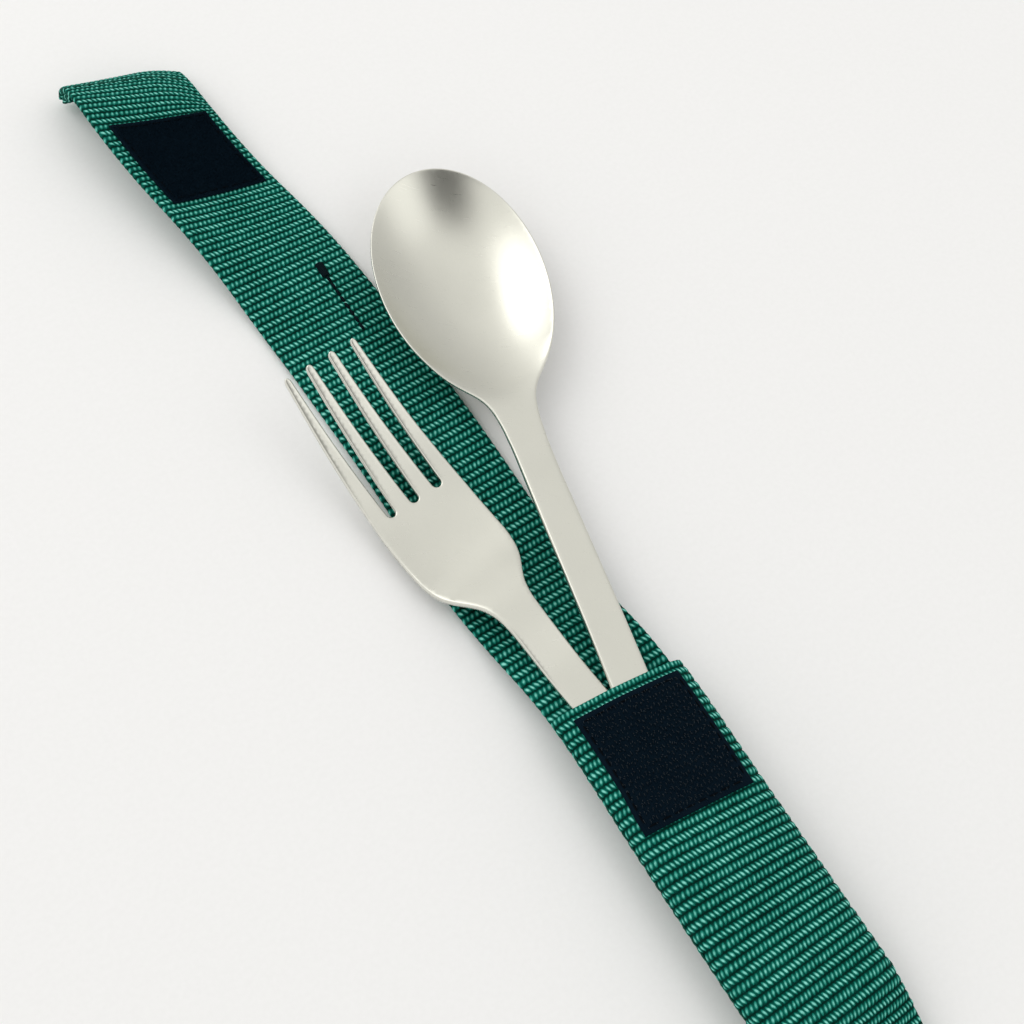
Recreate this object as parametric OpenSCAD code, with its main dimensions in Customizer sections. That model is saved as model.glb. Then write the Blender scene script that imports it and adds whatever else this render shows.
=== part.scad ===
// Picnic cutlery: a fork and a spoon carried in a webbing strap.
// The strap is doubled at one end into a pocket for the handles, and its free
// end is a flap that closes over the heads with hook-and-loop tape.
// X runs across the strap, +Y runs along it towards the flap, +Z is up.
// The modules measure y from the pocket's mouth. place() then moves the part so
// that its origin is in the middle of the flat underside that it rests on.

/* [Webbing] */
// Width of the webbing
web_w = 30; // [29:0.5:31]
// Thickness of the webbing
web_t = 1.7; // [1.6:0.1:1.8]
// Length of the flat back layer in front of the pocket, up to the fold
back_l = 118; // [116:1:124]

/* [Pocket] */
// Depth of the pocket from its mouth to the seam at its bottom
pocket_l = 97; // [94:1:100]
// Height that the handles lift the pocket's back layer by
lift = 4; // [3.8:0.1:4]
// Clear height inside the pocket
pocket_h = 5.4; // [5.4:0.1:5.8]

/* [Tape] */
// Width of the hook tape and the loop tape
tape_w = 24.6; // [24:0.2:25]
// Length of each tape
tape_l = 28; // [26:1:28]
// Thickness of each tape
tape_t = 1.2; // [1:0.1:1.3]

/* [Flap] */
// Height of the flap's left edge where the loop tape begins
flap_left = 8; // [6:0.5:9]
// Height of the flap's right edge where the loop tape begins
flap_right = 1.5; // [1:0.5:3]

/* [Fork] */
// Length of the fork that shows above the pocket's mouth
fork_out = 98; // [96:1:98]
// Length of the fork's handle inside the pocket
fork_in = 72; // [66:1:74]
// Width across the fork's head
fork_w = 24; // [23.5:0.5:26]

/* [Spoon] */
// Length of the spoon that shows above the pocket's mouth
spoon_out = 137; // [135:1:138]
// Length of the spoon's handle inside the pocket
spoon_in = 36; // [30:1:38]
// Width of the spoon's bowl
bowl_w = 40.5; // [38:0.5:41]
// Depth of the spoon's bowl
bowl_d = 7.3; // [6.8:0.1:7.3]

/* [Hidden] */

hw = web_w / 2;
ramp = 19;                       // length of the pocket's bottom, where it comes down to the surface
arch_l = pocket_l - ramp;        // length of the pocket's hollow
z0 = lift + web_t;               // floor of the pocket's hollow
gap = 0.3;                       // clearance across each fold
fold_y = 150;                    // the flap folds here
ramp_a = atan(lift / ramp);
rest_y = 76;                     // middle of the flat underside, from the pocket's mouth
module place() { translate([0, -rest_y, 0]) children(); }

green = [0.0, 0.36, 0.26];
black = [0.04, 0.06, 0.08];
steel = [0.78, 0.77, 0.74];
dark_thread = [0.02, 0.12, 0.10];

function ease(t) = let (u = min(1, max(0, t))) u * u * (3 - 2 * u);
// value of a table at y, with its corners rounded over a window of 2 h
function soft(tab, y, h) = (lookup(y - h, tab) + 2 * lookup(y, tab) + lookup(y + h, tab)) / 4;

// one stitch lying along Y on the plane z = 0
module stitch(l = 2, w = 0.7, h = 0.35) { translate([-w / 2, -l / 2, 0]) cube([w, l, h]); }
// a row of stitches from p along Y
module row_y(x, y1, y2, z, pitch = 3) { for (y = [y1 : pitch : y2]) translate([x, y, z]) stitch(); }
// a row of stitches across X
module row_x(x1, x2, y, z, pitch = 3) { for (x = [x1 : pitch : x2]) translate([x, y, z]) rotate([0, 0, 90]) stitch(); }

// ---------- strap: back layer and pocket ----------
// height of the back layer's underside along the strap
function under(y) = y < -arch_l ? lift * (y + pocket_l) / ramp : lift * (1 - ease((y - 6) / 34));
back_y = concat([-pocket_l, -arch_l, 6], [for (y = [9 : 3 : 39]) y], [40, back_l]);

module back_webbing() {
    place() color(green) rotate([90, 0, 90]) translate([0, 0, -hw]) linear_extrude(web_w)
        polygon(concat([for (y = back_y) [y, under(y)]],
                       [for (i = [len(back_y) - 1 : -1 : 0]) [back_y[i], under(back_y[i]) + web_t]]));
}

top_z = z0 + pocket_h + 1.6;     // top of the pocket's front layer
// outside of the front layer, right half, from its foot to the flat top
arch_out = [[hw, z0], [hw, z0 + 1.4], [13.9, z0 + 1.6], [13.6, z0 + 3.5], [13.1, z0 + 5.3], [12.1, z0 + pocket_h + 1.1], [10.6, top_z]];
// inside of the front layer, right half
arch_in = [[12.4, z0], [12.2, z0 + 2.9], [11.7, z0 + 4.5], [10.9, z0 + pocket_h - 0.2], [9.9, z0 + pocket_h]];
function rev(v) = [for (i = [len(v) - 1 : -1 : 0]) v[i]];
function left(v) = [for (p = v) [-p[0], p[1]]];

module across(y1, y2) { translate([0, y2, 0]) rotate([90, 0, 0]) linear_extrude(y2 - y1) children(); }

module pocket_front() {
    place() color(green) {
        across(-arch_l, 0) polygon(concat(arch_out, rev(left(arch_out)), left(arch_in), rev(arch_in)));
        hull() {
            across(-arch_l - 0.02, -arch_l) polygon(concat(arch_out, rev(left(arch_out))));
            translate([0, -pocket_l + 6, under(-pocket_l + 6) + web_t]) rotate([ramp_a, 0, 0]) translate([-hw, 0, 0]) cube([web_w, 0.02, 1.6]);
        }
        translate([0, -pocket_l, web_t]) rotate([ramp_a, 0, 0]) translate([-hw, 0.35, 0]) cube([web_w, 6 / cos(ramp_a), 1.6]);
    }
}

module pocket_seam_left() { place() color(dark_thread) row_y(-14.4, -arch_l + 2, -2, z0 + 1.55); }
module pocket_seam_right() { place() color(dark_thread) row_y(14.4, -arch_l + 2, -2, z0 + 1.55); }
module pocket_end_seam() {
    place() color(dark_thread) translate([0, -pocket_l, web_t]) rotate([ramp_a, 0, 0]) { row_x(-13, 13, 2.6, 1.6); row_x(-11.5, 11.5, 4.6, 1.6); }
}

// hook tape, bent over the pocket's two shoulders
tape_y = -2.4;                   // the tape's edge nearest the mouth
module hook_tape() {
    half = [[12.1, z0 + pocket_h + 1.1], [tape_w / 2 + 0.5, z0 + pocket_h + 1.75], [10.9, top_z + tape_t]];
    place() color(black) across(tape_y - tape_l, tape_y) polygon(concat([[10.6, top_z]], half, rev(left(half)), [[-10.6, top_z]]));
}
module hook_tape_stitching() {
    place() color(black) {
        for (y = [tape_y - 1.6, tape_y - tape_l + 1.6]) row_x(-9, 9, y, top_z + tape_t);
        for (x = [-9.8, 9.8]) row_y(x, tape_y - tape_l + 3.4, tape_y - 3.2, top_z + tape_t);
    }
}

// the bar tack and the stitch line that runs down from it
module back_bar_tack() {
    place() color(dark_thread) {
        for (k = [0 : 2]) slab([126.9 + 0.9 * k, 127.5 + 0.9 * k], 5.9, 8.1, web_t + 0.22, web_t + 0.57);
        for (k = [0 : 5]) slab([124.2 - 3 * k, 126.2 - 3 * k], 6.6 - 0.2 * k, 7.3 - 0.2 * k, web_t + 0.22, web_t + 0.57);
    }
}

// ---------- flap ----------
// past back_l the strap rises and twists, and its end turns down again
// heights of the strap's two edges, its sideways drift, and its rise towards the end
function zl(y) = flap_left * ease((y - 116) / 40) + 4 * ease((y - 150) / 36);
function zr(y) = flap_right * ease((y - 118) / 36) + 3 * ease((y - 152) / 36);
function xc(y) = -8 * ease((y - 118) / 70);
// a slice of the flap at y: its centre, and its left and right edges' heights
curl_y = 186;                    // the flap's end turns down past here
curl_r = 15;
// f is 0 to 1 along the strap past curl_y, as a quarter turn down to the surface
function slice(y) = y <= curl_y ? [y, xc(y), zl(y) + 0.02, zr(y) + 0.02, 0]
    : let (a = (y - curl_y) / curl_r * 84)
      [curl_y + curl_r * sin(a), xc(curl_y), 0.3 + (zl(curl_y) - 0.3) * (1 - pow(1 - cos(a), 1.0)), 0.3 + (zr(curl_y) - 0.3) * (1 - pow(1 - cos(a), 1.0)), -a];
// four corners of a slab on the flap: from offset lo to hi above its underside, from x1 to x2 across
function corners(y, x1, x2, lo, hi) = let (
        s = slice(y), h = 0.4, p = slice(y - h), q = slice(y + h),
        w = (s[3] - s[2]) / web_w,
        dy = q[0] - p[0], dz = ((q[2] + q[3]) - (p[2] + p[3])) / 2, d = norm([dy, dz]),
        n = [-w, -dz / d, dy / d],
        m = n / norm(n),
        f = function (x) [s[1] + x, s[0], s[2] + (x + hw) * w])
    [f(x1) + m * lo, f(x2) + m * lo, f(x2) + m * hi, f(x1) + m * hi];
module slab(ys, x1, x2, lo, hi) {
    n = len(ys);
    pts = [for (y = ys) each corners(y, x1, x2, lo, hi)];
    sides = [for (i = [0 : n - 2], k = [0 : 3]) each
        [[4 * i + k, 4 * i + (k + 1) % 4, 4 * i + 4 + (k + 1) % 4], [4 * i + k, 4 * i + 4 + (k + 1) % 4, 4 * i + 4 + k]]];
    e = 4 * (n - 1);
    polyhedron(pts, concat([[0, 3, 2], [0, 2, 1]], [[e, e + 1, e + 2], [e, e + 2, e + 3]], [for (f = sides) f]));
}
riser_ys = concat([back_l, 120], [for (y = [123 : 3 : 147]) y], [fold_y - gap / 2]);
flap_ys = concat([fold_y + gap / 2], [for (y = [153 : 3 : 183]) y], [curl_y - gap / 2]);
hem_ys = [for (k = [0 : 8]) curl_y + gap / 2 + (curl_r - gap / 2) * k / 8];

module strap_riser() { place() color(green) slab(riser_ys, -hw, hw, 0, web_t); }
module flap_webbing() { place() color(green) slab(flap_ys, -hw, hw, 0, web_t); }
module tip_webbing() { place() color(green) slab(hem_ys, -hw, hw, 0, web_t); }
// the strap's cut end, folded back under and sewn
module tip_end_hem() { place() color(green) slab([for (k = [3 : 8]) hem_ys[k]], -hw + 0.4, hw - 0.4, -1.5, -0.03); }
module tip_end_stitching() {
    place() color(dark_thread) for (k = [0 : 8]) slab([curl_y + 6.2, curl_y + 6.9], -13 + 3 * k, -11 + 3 * k, web_t, web_t + 0.35);
}
loop_ys = [for (k = [0 : 9]) 155.5 + k * (tape_l - 2.5) / 9];
module loop_tape() { place() color(black) slab(loop_ys, -tape_w / 2, tape_w / 2, web_t + 0.03, web_t + 0.03 + tape_t); }
module loop_tape_stitching() {
    t = web_t + 0.11 + tape_t;
    place() color(black) {
        for (y = [156.9, 178.8], k = [0 : 6]) slab([y, y + 0.7], -10 + 3 * k, -8 + 3 * k, t, t + 0.3);
        for (x = [-11, 10.3], k = [0 : 5]) slab([159.4 + 3 * k, 161.4 + 3 * k], x, x + 0.7, t, t + 0.3);
    }
}

// ---------- fork ----------
fork_x = -3.4;                   // where the fork's centre line crosses the mouth
fork_lean = 4.8;                 // its lean to the left of the strap
fz = z0 + 0.25;                  // underside of the fork's handle
// half width along the fork, from its end in the pocket to its tips
fork_half = [[-72, 2.6], [-71.6, 3.4], [-70.6, 4.1], [-69, 4.5], [-60, 4.6], [0, 4.4], [22, 4.4], [27, 4.7], [31, 5.8], [34, 7.8], [37, 9.9], [40, 11.2], [44, 11.9], [50, 12], [58, 11.9], [70, 11.3], [84, 10.5], [98, 9.7]];
// underside of the fork's side profile
fork_low = [[-72, 0], [10, 0], [17, 1.1], [24, 2.2], [29, 2], [34, 0.4], [39, -2], [44, -3.3], [50, -3.7], [57, -3.4], [66, -2], [74, 0.2], [82, 2.8], [90, 6.2], [98, 10]];
function fork_t(y) = 1.9 - 0.5 * ease((y - 30) / 30);
slot_y = 62.5;                     // where the slots between the tines end
function half_at(y) = soft(fork_half, y, 2) * (y > 30 ? fork_w / 24 : 1);
module fork_plan() {
    ys = concat([-72, -71.6, -70.6, -69, -66], [for (y = [-60 : 12 : 24]) y], [for (y = [28 : 2 : 98]) y]);
    difference() {
        scale([1, 1]) polygon(concat([for (y = ys) [half_at(y), y]], [for (i = [len(ys) - 1 : -1 : 0]) [-half_at(ys[i]), ys[i]]]));
        for (s = [-1, 0, 1]) {
            polygon([[6.4 * s - 1.05, slot_y], [6.4 * s + 1.05, slot_y], [6.05 * s + 2.1, 99], [6.05 * s - 2.1, 99]]);
            translate([6.4 * s, slot_y]) circle(r = 1.05, $fn = 24);
        }
        // rounded points of the tines
        for (s = [-1.5, -0.5, 0.5, 1.5], m = [-1, 1]) translate([6.05 * s + m * 0.3, 98.2])
            polygon([[m * 0.1, 0.2], [m * 0.3, -0.4], [m * 0.45, -1.2], [m * 0.55, -2.4], [m * 2, -2.4], [m * 2, 0.2]]);
    }
}
module fork_side() {
    ys = concat([-73, 8], [for (y = [11 : 3 : 98]) y], [99]);
    polygon(concat([for (y = ys) [y, soft(fork_low, y, 2.5)]],
                   [for (i = [len(ys) - 1 : -1 : 0]) let (y = ys[i], s = (soft(fork_low, y + 1, 2.5) - soft(fork_low, y - 1, 2.5)) / 2)
                       [y, soft(fork_low, y, 2.5) + fork_t(y) * sqrt(1 + s * s)]]));
}
module fork() {
    place() color(steel) translate([fork_x, 0, fz]) rotate([0, 0, fork_lean]) intersection() {
        translate([0, 0, -10]) linear_extrude(40) intersection() {
            fork_plan();
            translate([-20, -fork_in]) square([40, fork_in + fork_out]);
        }
        rotate([90, 0, 90]) translate([0, 0, -20]) linear_extrude(40) fork_side();
    }
}

// ---------- spoon ----------
spoon_x = 5.4;                   // where the spoon's centre line crosses the mouth
spoon_lean = 14;                 // its lean to the right of the strap
sz = fz + 1.9 + 0.3;             // underside of the spoon's handle, above the fork's
spoon_t = 1.7;
bowl_l = 63.5;
bowl_y = spoon_out - bowl_l / 2; // middle of the bowl
// half width of the handle
handle_half = [[-36, 2.2], [-35.7, 2.9], [-35, 3.7], [-34, 4.2], [-32.5, 4.5], [-28, 4.6], [0, 4.5], [30, 4.4], [55, 4.3], [60, 4.35], [66, 4.7], [70, 5.3], [73, 6.3], [75, 7.5], [77, 9.2], [79, 11], [81, 12.6], [83, 13.9]];
// height of the spoon's upper edge line above the top of the handle
edge_z = [[-36, 0], [15, 0], [40, -0.6], [55, -0.9], [68, -0.5], [82, 0.1], [100, 0.7], [120, 1.8], [137, 3.4]];
// depth of the bowl at x and y, as a share of its greatest depth
function hollow(x, y) = let (u = (y - bowl_y) / (bowl_l / 2), q = 1 - pow(x / (bowl_w / 2 * (1 + 0.05 * u)), 2) - u * u,
        e = 0.03 * (1 - ease((u + 0.9) / 0.3)) + 0.0004, d = (q + sqrt(q * q + e)) / 2) 1 - pow(max(0, 1 - d), 1.2);
function bowl_half(y) = let (u = (y - bowl_y) / (bowl_l / 2)) abs(u) >= 1 ? 0 : bowl_w / 2 * sqrt(1 - u * u) * (1 + 0.05 * u) / 1.001;
function spoon_half(y) = y < 81 ? soft(handle_half, y, 1) : max(bowl_half(y), 0.6);
function spoon_thick(y) = spoon_t - 0.6 * ease((y - 50) / 26);
spoon_ys = concat([-36, -35.7, -35, -34, -32.5, -30], [for (y = [-24 : 8 : 56]) y], [for (y = [59 : 2.5 : 131.5]) y], [133.5, 135, 136, 136.6, 137]);
M = 8;
module spoon() {
    n = len(spoon_ys);
    top = function (y, x) soft(edge_z, y, 3) + spoon_t - bowl_d * hollow(spoon_half(y) * x, y);
    ring = function (y) let (w = spoon_half(y), t = spoon_thick(y)) concat(
        [for (k = [0 : M]) let (x = -1 + 2 * k / M) [w * x, y, top(y, abs(x))]],
        [for (k = [M : -1 : 0]) let (x = -1 + 2 * k / M) [w * x * 0.985, y, top(y, abs(x)) - t]]);
    R = 2 * (M + 1);
    pts = [for (y = spoon_ys) each ring(y)];
    sides = [for (i = [0 : n - 2], k = [0 : R - 1]) each
        [[R * i + k, R * i + R + (k + 1) % R, R * i + (k + 1) % R], [R * i + k, R * i + R + k, R * i + R + (k + 1) % R]]];
    caps = [for (k = [0 : M - 1]) each [[k, k + 1, R - 2 - k], [k, R - 2 - k, R - 1 - k]]];
    e = R * (n - 1);
    ends = [for (k = [0 : M - 1]) each [[e + k, e + R - 2 - k, e + k + 1], [e + k, e + R - 1 - k, e + R - 2 - k]]];
    place() color(steel) translate([spoon_x, 0, sz]) rotate([0, 0, -spoon_lean]) intersection() {
        polyhedron(pts, concat(sides, caps, ends));
        translate([-30, -spoon_in, -20]) cube([60, spoon_in + 200, 60]);
    }
}

back_webbing();
pocket_front();
pocket_seam_left();
pocket_seam_right();
pocket_end_seam();
hook_tape();
hook_tape_stitching();
back_bar_tack();
strap_riser();
flap_webbing();
tip_webbing();
tip_end_hem();
tip_end_stitching();
loop_tape();
loop_tape_stitching();
fork();
spoon();
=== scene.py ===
import bpy
import math
import numpy as np
from mathutils import Matrix, Vector
from mathutils.geometry import delaunay_2d_cdt


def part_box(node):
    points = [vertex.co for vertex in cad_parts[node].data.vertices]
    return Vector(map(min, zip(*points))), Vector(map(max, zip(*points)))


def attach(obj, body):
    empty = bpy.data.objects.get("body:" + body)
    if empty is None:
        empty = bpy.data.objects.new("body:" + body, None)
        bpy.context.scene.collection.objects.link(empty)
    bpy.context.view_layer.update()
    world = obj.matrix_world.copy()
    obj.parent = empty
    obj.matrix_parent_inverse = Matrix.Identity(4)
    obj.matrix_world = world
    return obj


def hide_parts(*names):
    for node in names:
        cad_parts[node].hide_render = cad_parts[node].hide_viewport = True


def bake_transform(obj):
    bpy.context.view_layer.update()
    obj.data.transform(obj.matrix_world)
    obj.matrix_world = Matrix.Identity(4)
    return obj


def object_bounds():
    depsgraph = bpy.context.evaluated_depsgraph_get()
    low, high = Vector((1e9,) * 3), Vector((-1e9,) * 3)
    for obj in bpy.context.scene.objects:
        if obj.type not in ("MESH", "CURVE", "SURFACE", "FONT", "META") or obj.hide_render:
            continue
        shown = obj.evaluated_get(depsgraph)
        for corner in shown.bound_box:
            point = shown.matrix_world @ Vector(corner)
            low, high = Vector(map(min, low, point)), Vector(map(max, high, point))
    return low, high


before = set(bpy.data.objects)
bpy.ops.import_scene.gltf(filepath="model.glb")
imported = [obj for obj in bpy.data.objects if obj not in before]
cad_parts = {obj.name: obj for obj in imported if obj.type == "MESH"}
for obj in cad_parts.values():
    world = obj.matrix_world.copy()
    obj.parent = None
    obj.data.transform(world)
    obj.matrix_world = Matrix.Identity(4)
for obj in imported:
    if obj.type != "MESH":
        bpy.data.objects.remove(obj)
cad_lo, cad_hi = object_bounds()

# ---------------------------------------------------------------- places, from the CAD boxes, in mm from the pocket's mouth
def mm(node):
    lo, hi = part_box(node)
    return np.array(lo) * 1000, np.array(hi) * 1000

Y0 = mm("pocket_front")[1][1]                 # the mouth, in the part's own Y
HW = mm("back_webbing")[1][0]                 # half the webbing's width
POCKET_END = mm("pocket_front")[0][1] - Y0    # the pocket's sewn end
FOLD = (mm("strap_riser")[1][1] + mm("flap_webbing")[0][1]) / 2 - Y0
CURL = (mm("flap_webbing")[1][1] + mm("tip_webbing")[0][1]) / 2 - Y0
TOP = mm("pocket_front")[1][2]                # top of the pocket's front layer
BACK_L = mm("back_webbing")[1][1] - Y0
T = 1.7                                       # webbing thickness
LIFT = mm("pocket_seam_left")[0][2] - 1.55 - T
FLOOR_Z = LIFT + T                            # the pocket's floor
TAPE_HI = mm("hook_tape")[1][1] - Y0
TAPE_LO = mm("hook_tape")[0][1] - Y0
TAPE_HW = 12.3
DOT, ROW = 1.154, 1.95                        # weave: one dot across, one row along


def ease(t):
    t = np.clip(t, 0, 1)
    return t * t * (3 - 2 * t)


def table(points, sigma, lo, hi):
    """A table of (y, value) as a smooth function of y."""
    p = np.array(points, float)
    ys = np.arange(lo - 30, hi + 30, 0.1)
    v = np.interp(ys, p[:, 0], p[:, 1])
    k = np.arange(-4 * sigma, 4 * sigma + 0.1, 0.1)
    g = np.exp(-0.5 * (k / sigma) ** 2)
    v = np.convolve(np.pad(v, len(k) // 2, mode="edge"), g / g.sum(), mode="same")[len(k) // 2: len(k) // 2 + len(ys)]
    return lambda y: np.interp(y, ys, v)


# ---------------------------------------------------------------- meshes
def make(name, verts, faces, mat, body=None, uv=None, smooth=True, attrs=None):
    me = bpy.data.meshes.new(name)
    v = (np.asarray(verts, float).reshape(-1, 3) + [0, Y0, 0]) * 0.001
    me.from_pydata(v.tolist(), [], [list(map(int, f)) for f in faces])
    me.update()
    if smooth:
        me.polygons.foreach_set("use_smooth", [True] * len(me.polygons))
    if uv is not None:
        layer = me.uv_layers.new(name="weave")
        idx = np.empty(len(me.loops), int)
        me.loops.foreach_get("vertex_index", idx)
        layer.data.foreach_set("uv", np.asarray(uv, float).reshape(-1, 2)[idx].astype(np.float32).ravel())
    for k, a in (attrs or {}).items():
        at = me.attributes.new(k, "FLOAT", "POINT")
        at.data.foreach_set("value", np.asarray(a, np.float32).ravel())
    me.materials.append(mat)
    ob = bpy.data.objects.new(name, me)
    bpy.context.scene.collection.objects.link(ob)
    if body:
        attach(ob, body)
    return ob


def tube_faces(ns, nr, top, edge):
    """Faces of ns rings of nr points. A ring is top points, edge points, top points back, edge points."""
    f = []
    for i in range(ns - 1):
        a = i * nr
        for j in range(nr):
            k = (j + 1) % nr
            f.append((a + j, a + k, a + nr + k, a + nr + j))
    b0 = top + edge
    for base, flip in ((0, False), ((ns - 1) * nr, True)):
        for k in range(top - 1):
            q = (k, b0 + top - 1 - k, b0 + top - 2 - k, k + 1)
            q = tuple(base + i for i in q)
            f.append(q[::-1] if flip else q)
        for side in ([top - 1 + i for i in range(edge + 2)], [b0 + top - 1 + i for i in range(edge + 1)] + [0]):
            q = [base + i for i in side]
            f.append(q if flip else q[::-1])
    return f


LS = np.linspace(-130, 260, 3901)
TURNS = np.concatenate([[0], np.cumsum(0.1 / (ROW - 0.33 * np.array([ease((y - 112) / 40) for y in LS[1:]])))])


def weave(u, v):
    """Height of the woven surface, 0 to 1, at dot u and row v."""
    r = np.floor(v)
    fv = v - r - 0.5
    odd = np.mod(r, 2)
    g = u + 0.5 * odd + 0.04 * np.sin(u * 1.7 + r * 2.3)
    g = g - np.floor(g) - 0.5
    g = g + fv * (0.72 - 1.2 * odd)
    m = np.clip(1 - (g / 0.42) ** 2 - (fv / 0.47) ** 2, 0, 1)
    rib = np.cos(math.pi * fv)
    return 0.42 * rib + 0.58 * (1 - 0.15 * odd) * np.sqrt(m)


rng = np.random.default_rng(7)


class Cloth:
    """A surface f(s, x) in mm, sampled on a grid, with its normals."""

    def __init__(self, f, s, x):
        self.s, self.x = np.asarray(s, float), np.asarray(x, float)
        S, X = np.meshgrid(self.s, self.x, indexing="ij")
        self.p = f(S, X)
        ds = np.gradient(self.p, self.s, axis=0)
        dx = np.gradient(self.p, self.x, axis=1)
        n = np.cross(dx, ds)
        self.n = n / np.linalg.norm(n, axis=2, keepdims=True)
        mid = self.p[:, len(self.x) // 2]
        self.len = np.concatenate([[0], np.cumsum(np.linalg.norm(np.diff(mid, axis=0), axis=1))])
        self.len += self.s[0]

    def at(self, s, x, h=0.0):
        s, x, h = np.broadcast_arrays(np.asarray(s, float), np.asarray(x, float), np.asarray(h, float))
        i = np.clip(np.searchsorted(self.s, s, side="right") - 1, 0, len(self.s) - 2)
        j = np.clip(np.searchsorted(self.x, x, side="right") - 1, 0, len(self.x) - 2)
        a = (np.clip(s, self.s[0], self.s[-1]) - self.s[i]) / (self.s[i + 1] - self.s[i])
        b = (np.clip(x, self.x[0], self.x[-1]) - self.x[j]) / (self.x[j + 1] - self.x[j])
        a, b = a[..., None], b[..., None]
        out = []
        for g in (self.p, self.n):
            out.append((g[i, j] * (1 - b) + g[i, j + 1] * b) * (1 - a) + (g[i + 1, j] * (1 - b) + g[i + 1, j + 1] * b) * a)
        n = out[1] / np.linalg.norm(out[1], axis=-1, keepdims=True)
        over = (x - np.clip(x, self.x[0], self.x[-1]))[..., None]
        return out[0] + n * h[..., None] + over * np.array([1.0, 0, 0]), n

    def length(self, s):
        return np.interp(s, self.s, self.len)


EDGE = 3


def band(cloth, s_vals, hw, t, mid, amp_top, amp_bot, per_dot=4, x_in=None, round_lo=False, round_hi=False, step=None, dot=DOT):
    """Woven ribbon on a cloth: verts, faces and uvs. mid is the height of its middle above the cloth's surface."""
    n = int(round(2 * hw / dot * per_dot)) if step is None else int(round(2 * hw / step))
    r = t / 2
    xt = np.linspace(-hw + r * 0.8, hw - r * 0.8, n + 1)
    ang = np.linspace(90, -90, EDGE + 2)[1:-1] * math.pi / 180
    ring_x = np.concatenate([xt, hw - r * 0.8 + r * 0.8 * np.cos(ang), xt[::-1], -(hw - r * 0.8) - r * 0.8 * np.cos(ang)])
    ring_h = np.concatenate([np.full(n + 1, r), r * np.sin(ang), np.full(n + 1, -r), -r * np.sin(ang)])
    kind = np.concatenate([np.ones(n + 1), np.zeros(EDGE), -np.ones(n + 1), np.zeros(EDGE)])
    s = np.asarray(s_vals, float)
    S, X = np.meshgrid(s, ring_x, indexing="ij")
    H = np.broadcast_to(ring_h, S.shape).copy()
    K = np.broadcast_to(kind, S.shape)
    L = cloth.length(S)
    v = np.interp(L, LS, TURNS) + 400        # the rows lie closer together on the flap
    u = (X + 15) / dot
    w = weave(u, v)
    side = np.abs(K) < 0.5
    fade = np.clip((hw - np.abs(X)) / 0.9, 0.25, 1)
    H += np.where(K > 0.5, amp_top * (w - 0.5) * fade, 0) - np.where(K < -0.5, amp_bot * (w - 0.5) * fade, 0)
    scal = 0.13 * np.abs(np.sin(math.pi * v)) - 0.06
    Xp = X + np.sign(X) * np.where(side, scal, 0)
    squeeze = np.ones(len(s))
    if round_lo:
        squeeze = np.minimum(squeeze, np.sqrt(np.clip(1 - (1 - np.clip((s - s[0]) / r, 0, 1)) ** 2, 0.02, 1)))
    if round_hi:
        squeeze = np.minimum(squeeze, np.sqrt(np.clip(1 - (1 - np.clip((s[-1] - s) / r, 0, 1)) ** 2, 0.02, 1)))
    H = H * squeeze[:, None] + mid
    if x_in is not None:
        Xp = x_in(S, Xp)
    P, _ = cloth.at(S, Xp, H)
    return P.reshape(-1, 3), tube_faces(len(s), len(ring_x), n + 1, EDGE), np.stack([u, v], -1).reshape(-1, 2)


def rows(a, b, step):
    return np.linspace(a, b, max(2, int(round((b - a) / step)) + 1))


def threads(name, segs, radius, mat, body, sides=6, along=5, rise=0.6):
    """Short rounded stitches. segs is a list of (start, end, normal)."""
    verts, faces, uv = [], [], []
    for n, (p, q, nn) in enumerate(segs):
        p, q, nn = map(lambda a: np.asarray(a, float), (p, q, nn))
        d = q - p
        L = np.linalg.norm(d)
        d = d / L
        b = np.cross(d, nn)
        b /= np.linalg.norm(b)
        base = len(verts)
        for i in range(along + 1):
            t = i / along
            c = p + d * L * t + nn * (radius * rise * math.sin(math.pi * t) - radius * 0.35)
            rr = radius * (0.35 + 0.65 * math.sin(math.pi * min(max(t, 0.06), 0.94)) ** 0.45)
            for k in range(sides):
                a = 2 * math.pi * k / sides
                verts.append(c + rr * (math.cos(a) * b + math.sin(a) * nn))
                uv.append((n * 7.3 + t * 3, k / sides))
        for i in range(along):
            for k in range(sides):
                m = (k + 1) % sides
                faces.append((base + i * sides + k, base + i * sides + m, base + (i + 1) * sides + m, base + (i + 1) * sides + k)[::-1])
        faces.append([base + k for k in range(sides)])
        faces.append([base + along * sides + k for k in range(sides)][::-1])
    return make(name, verts, faces, mat, body, uv=uv)


# ---------------------------------------------------------------- materials
class V:
    """A value in a node tree."""

    def __init__(self, tree, socket):
        self.t, self.o = tree, socket

    def op(self, name, *others):
        n = self.t.nodes.new("ShaderNodeMath")
        n.operation = name
        for i, x in enumerate((self,) + others):
            if isinstance(x, V):
                self.t.links.new(x.o, n.inputs[i])
            else:
                n.inputs[i].default_value = x
        return V(self.t, n.outputs[0])

    def __add__(self, x): return self.op("ADD", x)
    def __sub__(self, x): return self.op("SUBTRACT", x)
    def __mul__(self, x): return self.op("MULTIPLY", x)
    def __truediv__(self, x): return self.op("DIVIDE", x)
    def clamp(self):
        n = self.op("ADD", 0.0)
        n.o.node.use_clamp = True
        return n


def material(name):
    m = bpy.data.materials.new(name)
    m.use_nodes = True
    t = m.node_tree
    return m, t, t.nodes["Principled BSDF"]


def node(t, kind, **values):
    n = t.nodes.new(kind)
    for k, v in values.items():
        if k in n.inputs:
            n.inputs[k].default_value = v
        else:
            setattr(n, k, v)
    return n


def vec(t, x, y, z=0.0):
    n = t.nodes.new("ShaderNodeCombineXYZ")
    for i, a in enumerate((x, y, z)):
        if isinstance(a, V):
            t.links.new(a.o, n.inputs[i])
        else:
            n.inputs[i].default_value = a
    return n.outputs[0]


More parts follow.
